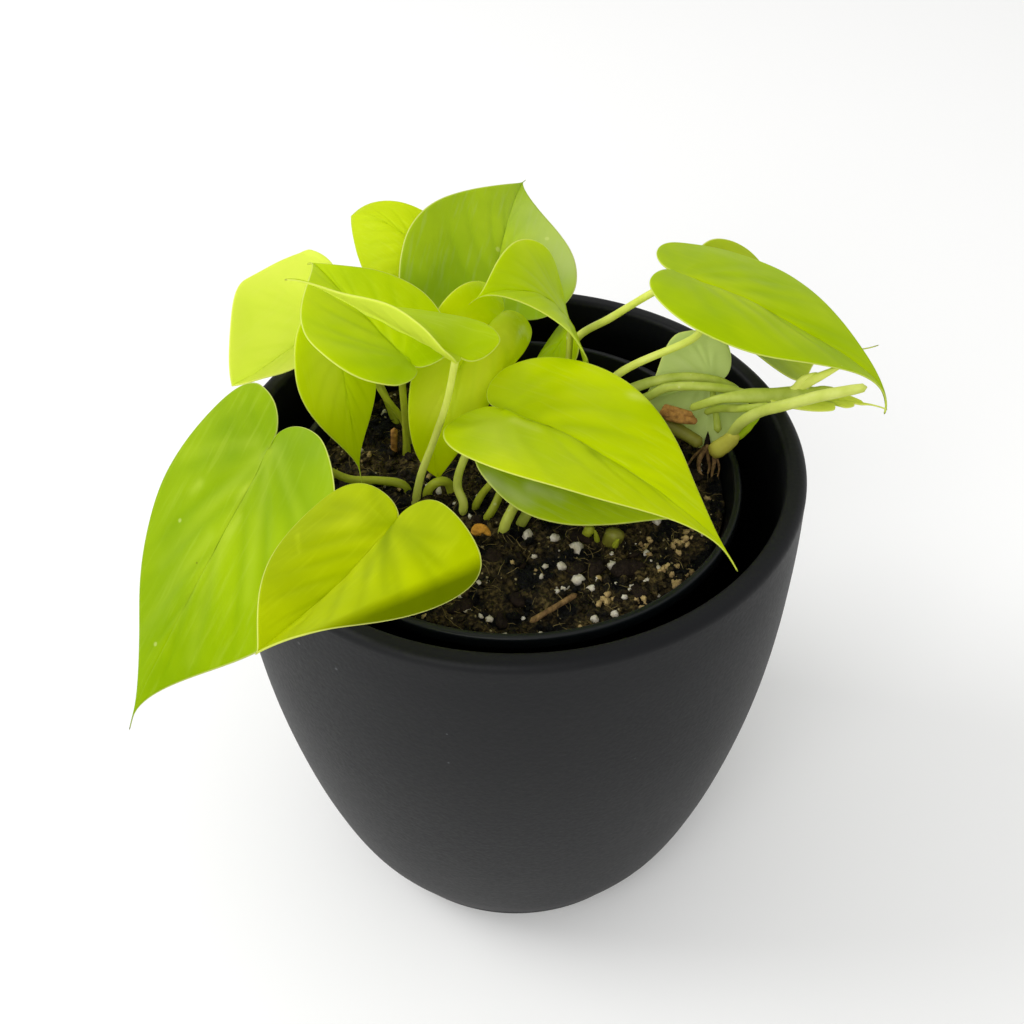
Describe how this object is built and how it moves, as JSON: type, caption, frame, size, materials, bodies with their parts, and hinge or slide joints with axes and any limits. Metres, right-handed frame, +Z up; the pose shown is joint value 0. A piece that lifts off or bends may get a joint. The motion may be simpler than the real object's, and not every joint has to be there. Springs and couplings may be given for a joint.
{
  "type": "potted heartleaf philodendron",
  "caption": "Bushy trailing house plant with bright yellow-green heart-shaped leaves on slender stalks, in a plastic nursery pot inside a matt charcoal cover pot",
  "frame": {"origin": "centre of the outer pot's flat foot", "axes": "+Z up along the pots' axis, -Y is the side that the picture looks from, +X is to its right"},
  "size_m": [0.1881, 0.179, 0.1866],
  "materials": {
    "outer_pot": "matt charcoal",
    "nursery_pot": "satin black",
    "soil": "damp crumbly potting mix",
    "leaf_bright": "smooth waxy leaf",
    "leaf_deep": "smooth waxy leaf",
    "leaf_pale": "thin pale leaf",
    "leaf_underside": "dull grey-green underside",
    "stalk": "smooth waxy stalk",
    "dry": "dry fibrous"
  },
  "bodies": {
    "root": {"bark_front": "dry", "chip_front": "dry", "leaf_back_large": "leaf_deep", "leaf_back_left": "leaf_pale", "leaf_back_small": "leaf_pale", "leaf_centre_curled": "leaf_bright", "leaf_centre_folded": "leaf_bright", "leaf_centre_left": "leaf_bright", "leaf_centre_small": "leaf_bright", "leaf_front": "leaf_bright", "leaf_front_left": "leaf_bright", "leaf_hanging": "leaf_bright", "leaf_left_large": "leaf_deep", "leaf_right_far": "leaf_pale", "leaf_right_large": "leaf_bright", "leaf_right_under": "leaf_bright", "leaf_right_underside": "leaf_underside", "leaf_under_front": "leaf_bright", "leaf_young_folded": "leaf_bright", "node_right": "stalk", "nursery_pot": "nursery_pot", "outer_pot": "outer_pot", "petiole_back_large": "stalk", "petiole_back_left": "stalk", "petiole_back_small": "stalk", "petiole_centre_curled": "stalk", "petiole_centre_folded": "stalk", "petiole_centre_left": "stalk", "petiole_centre_small": "stalk", "petiole_front": "stalk", "petiole_front_left": "stalk", "petiole_hanging": "stalk", "petiole_left_large": "stalk", "petiole_right_far": "stalk", "petiole_right_large": "stalk", "petiole_right_under": "stalk", "petiole_right_underside": "stalk", "petiole_under_front": "stalk", "petiole_young": "stalk", "root_right": "dry", "sheath_left": "dry", "sheath_right": "stalk", "shoot_right": "stalk", "soil": "soil", "stalk_right_cut": "stalk", "stalk_right_low": "stalk", "stalk_right_middle": "stalk", "stalk_right_upper": "stalk", "stub_right": "dry", "twig_front": "dry", "vine_arch": "stalk", "vine_base_front": "stalk", "vine_right": "stalk", "vine_stub_front": "stalk"}
  },
  "joints": []
}
